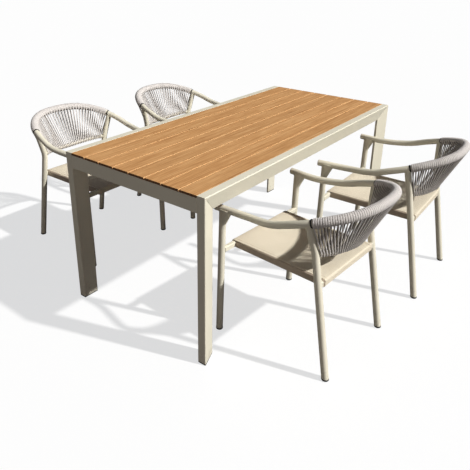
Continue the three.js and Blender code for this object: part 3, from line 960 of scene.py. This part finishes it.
def build_chair():
    """Every piece of one chair: name, shape, materials, slot, and the CAD part it stands for."""
    top, low = mirrored_curve(RAIL_HALF), mirrored_curve(LOWER_HALF)
    top_line, low_line = dense(top, 420), dense(low, 120)
    leg_lines = {side: rear_leg_path(side)[0] for side in (-1, 1)}

    rail = Shape().loft(tube_rings(dense(top, 220), TUBE, TUBE_SIDES))
    plugs = Shape()
    for end, inward in ((top_line[0], top_line[1]), (top_line[-1], top_line[-2])):
        path = [end + unit(end - inward) * h for h in (-0.2, 0.6, 1.6, 2.3)]
        plugs.loft(tube_rings(path, TUBE + np.array([-0.1, 0.1, -0.5, -2.5]), TUBE_SIDES))
    legs, glides = build_legs(top_line)
    sling, grid, normal = build_sling()

    # The rope starts just past the rear legs, and ends in a collar on each side.
    spans = 2 * (len(RAIL_HALF) - 1)
    from_t = (REAR_JOINT + 0.19) / spans
    collars = Shape()
    for t0, t1 in ((from_t - 0.0045, from_t + 0.001), (1 - from_t + 0.0045, 1 - from_t - 0.001)):
        swell = np.array([0.1, 0.9, 1.6, 2.0, 2.2, 2.3, 2.3, 2.3, 2.0])
        collars.loft(tube_rings(dense(top, 9, t0, t1), TUBE + swell, TUBE_SIDES))

    return [
        ("arm_back_rail", rail, [COAT], "frame", "arm_back_rail"),
        *((name, shape, [COAT], "frame", name) for name, shape in legs.items()),
        ("arm_plugs", plugs, [PLASTIC], "foot_plastic", None),
        ("glides", glides, [PLASTIC], "foot_plastic", None),
        ("lower_back_rail", build_lower_rail(low_line, leg_lines), [COAT], "frame",
         "lower_back_rail"),
        ("seat_frame", build_seat_frame(leg_lines), [COAT, SHADE_PAINTED_COAT], "frame", "seat_frame"),
        ("sling_seat", sling, [CLOTH], "sling", "sling_seat"),
        ("sling_stitching", build_stitching(grid, normal), [THREAD], "sling", None),
        ("rope_wrap", rope_wrap(top, from_t, 1 - from_t), [BRAID], "rope", "rope_back"),
        ("rope_strands", rope_strands(top, low, from_t + 0.004, 1 - from_t - 0.004), [STRAND],
         "rope", None),
        ("rope_collars", collars, [PLASTIC], "foot_plastic", None),
    ]


def build_chairs():
    """Four chairs that share their meshes, each on its own body."""
    parts = build_chair()
    meshes = {name: shape.mesh("chair_" + name, materials, flat=name == "seat_frame")
              for name, shape, materials, _, _ in parts}
    for chair, (x, y, turn) in CHAIRS.items():
        at = (TABLE_AT @ Matrix.Translation((x * MM, y * MM, 0))
              @ Matrix.Rotation(math.radians(turn), 4, "Z"))
        for name, _, _, slot, node in parts:
            add(f"{chair}_{name}_fine" if node else f"{chair}_{name}", meshes[name],
                               chair, [f"{chair}_{node}"] if node else (), at)


build_table()
build_chairs()


# ------------------------------------------------------------------ floor, light and camera

def by_ray(tree, output, for_light, for_camera):
    """Ends a node tree: the camera sees one shader, and all other rays meet the other one."""
    ray = tree.nodes.new("ShaderNodeLightPath")
    pick = tree.nodes.new("ShaderNodeMixShader")
    tree.links.new(ray.outputs["Is Camera Ray"], pick.inputs[0])
    tree.links.new(for_light.outputs[0], pick.inputs[1])
    tree.links.new(for_camera.outputs[0], pick.inputs[2])
    out = tree.nodes.new("ShaderNodeOutput" + output)
    tree.links.new(pick.outputs[0], out.inputs["Surface"])


def build_floor():
    """A large pale floor that is seen and takes shadows, but throws only a little light back."""
    reach, below_feet = 60.0, 0.0005
    mesh = bpy.data.meshes.new("floor")
    mesh.from_pydata([(-reach, -reach, 0), (reach, -reach, 0), (reach, reach, 0),
                      (-reach, reach, 0)], [], [(0, 1, 2, 3)])
    mat = bpy.data.materials.new("pale_floor")
    mat.use_nodes = True
    tree = mat.node_tree
    tree.nodes.clear()
    bounce = tree.nodes.new("ShaderNodeBsdfDiffuse")
    bounce.inputs["Color"].default_value = (0.10, 0.096, 0.092, 1)
    glow = tree.nodes.new("ShaderNodeEmission")
    glow.inputs["Color"].default_value = (0.985, 0.992, 1.0, 1)
    glow.inputs["Strength"].default_value = 0.69
    matte = tree.nodes.new("ShaderNodeBsdfDiffuse")
    matte.inputs["Color"].default_value = (0.30, 0.30, 0.30, 1)
    seen = tree.nodes.new("ShaderNodeAddShader")
    tree.links.new(glow.outputs[0], seen.inputs[0])
    tree.links.new(matte.outputs[0], seen.inputs[1])
    by_ray(tree, "Material", bounce, seen)
    mesh.materials.append(mat)
    floor = bpy.data.objects.new("floor", mesh)
    floor.location.z = -below_feet
    bpy.context.scene.collection.objects.link(floor)


def build_light():
    """A sun from the right, soft fill from the near end and the right, and a white background."""
    sun = bpy.data.lights.new("sun", "SUN")
    sun.energy = 4.5
    sun.angle = math.radians(1.6)
    sun.color = (1.0, 0.985, 0.955)
    lamp = bpy.data.objects.new("sun", sun)
    travel = Vector((-0.377, 1.10, -1.0)).normalized()
    lamp.rotation_mode = "QUATERNION"
    lamp.rotation_quaternion = travel.to_track_quat("-Z", "Y")
    lamp.location = -travel * 6                 # out of the way: a sun's place does not matter
    bpy.context.scene.collection.objects.link(lamp)

    world = bpy.data.worlds.new("studio")
    bpy.context.scene.world = world
    world.use_nodes = True
    tree = world.node_tree
    tree.nodes.clear()
    seen = tree.nodes.new("ShaderNodeBackground")
    seen.inputs["Color"].default_value = (1, 1, 1, 1)
    fill = tree.nodes.new("ShaderNodeBackground")
    fill.inputs["Strength"].default_value = 1.0
    where = tree.nodes.new("ShaderNodeTexCoord")
    toward = tree.nodes.new("ShaderNodeVectorMath")
    toward.operation = "DOT_PRODUCT"
    toward.inputs[1].default_value = (-0.90, -0.42, 0.08)
    shade = tree.nodes.new("ShaderNodeValToRGB")
    dim, bright = shade.color_ramp.elements
    dim.position = 0.55
    dim.color = (0.034, 0.037, 0.050, 1)
    bright.color = (0.580, 0.525, 0.490, 1)
    tree.links.new(where.outputs["Generated"], toward.inputs[0])
    tree.links.new(toward.outputs["Value"], shade.inputs[0])
    tree.links.new(shade.outputs[0], fill.inputs["Color"])
    by_ray(tree, "World", fill, seen)


def build_camera():
    """Standing eye height, in front of the table's near end and to its right."""
    data = bpy.data.cameras.new("camera")
    camera = bpy.data.objects.new("camera", data)
    bpy.context.scene.collection.objects.link(camera)
    ahead = Vector((0.73286621, 0.57165744, -0.36893752)).normalized()
    right = Vector((0.61725792, -0.78672861, 0.00712371))
    right = (right - ahead * right.dot(ahead)).normalized()
    turn = Matrix((right, right.cross(ahead), -ahead)).transposed().to_4x4()
    eye = Vector((-2.18488, -1.50187, 1.54303))
    camera.matrix_world = TABLE_AT @ Matrix.Translation(eye) @ turn
    data.sensor_width = 36
    data.lens = 40.95
    data.shift_x = 0.0343
    data.shift_y = -0.1362
    bpy.context.scene.camera = camera


build_floor()
build_light()
build_camera()
bpy.context.scene.view_settings.view_transform = "Standard"
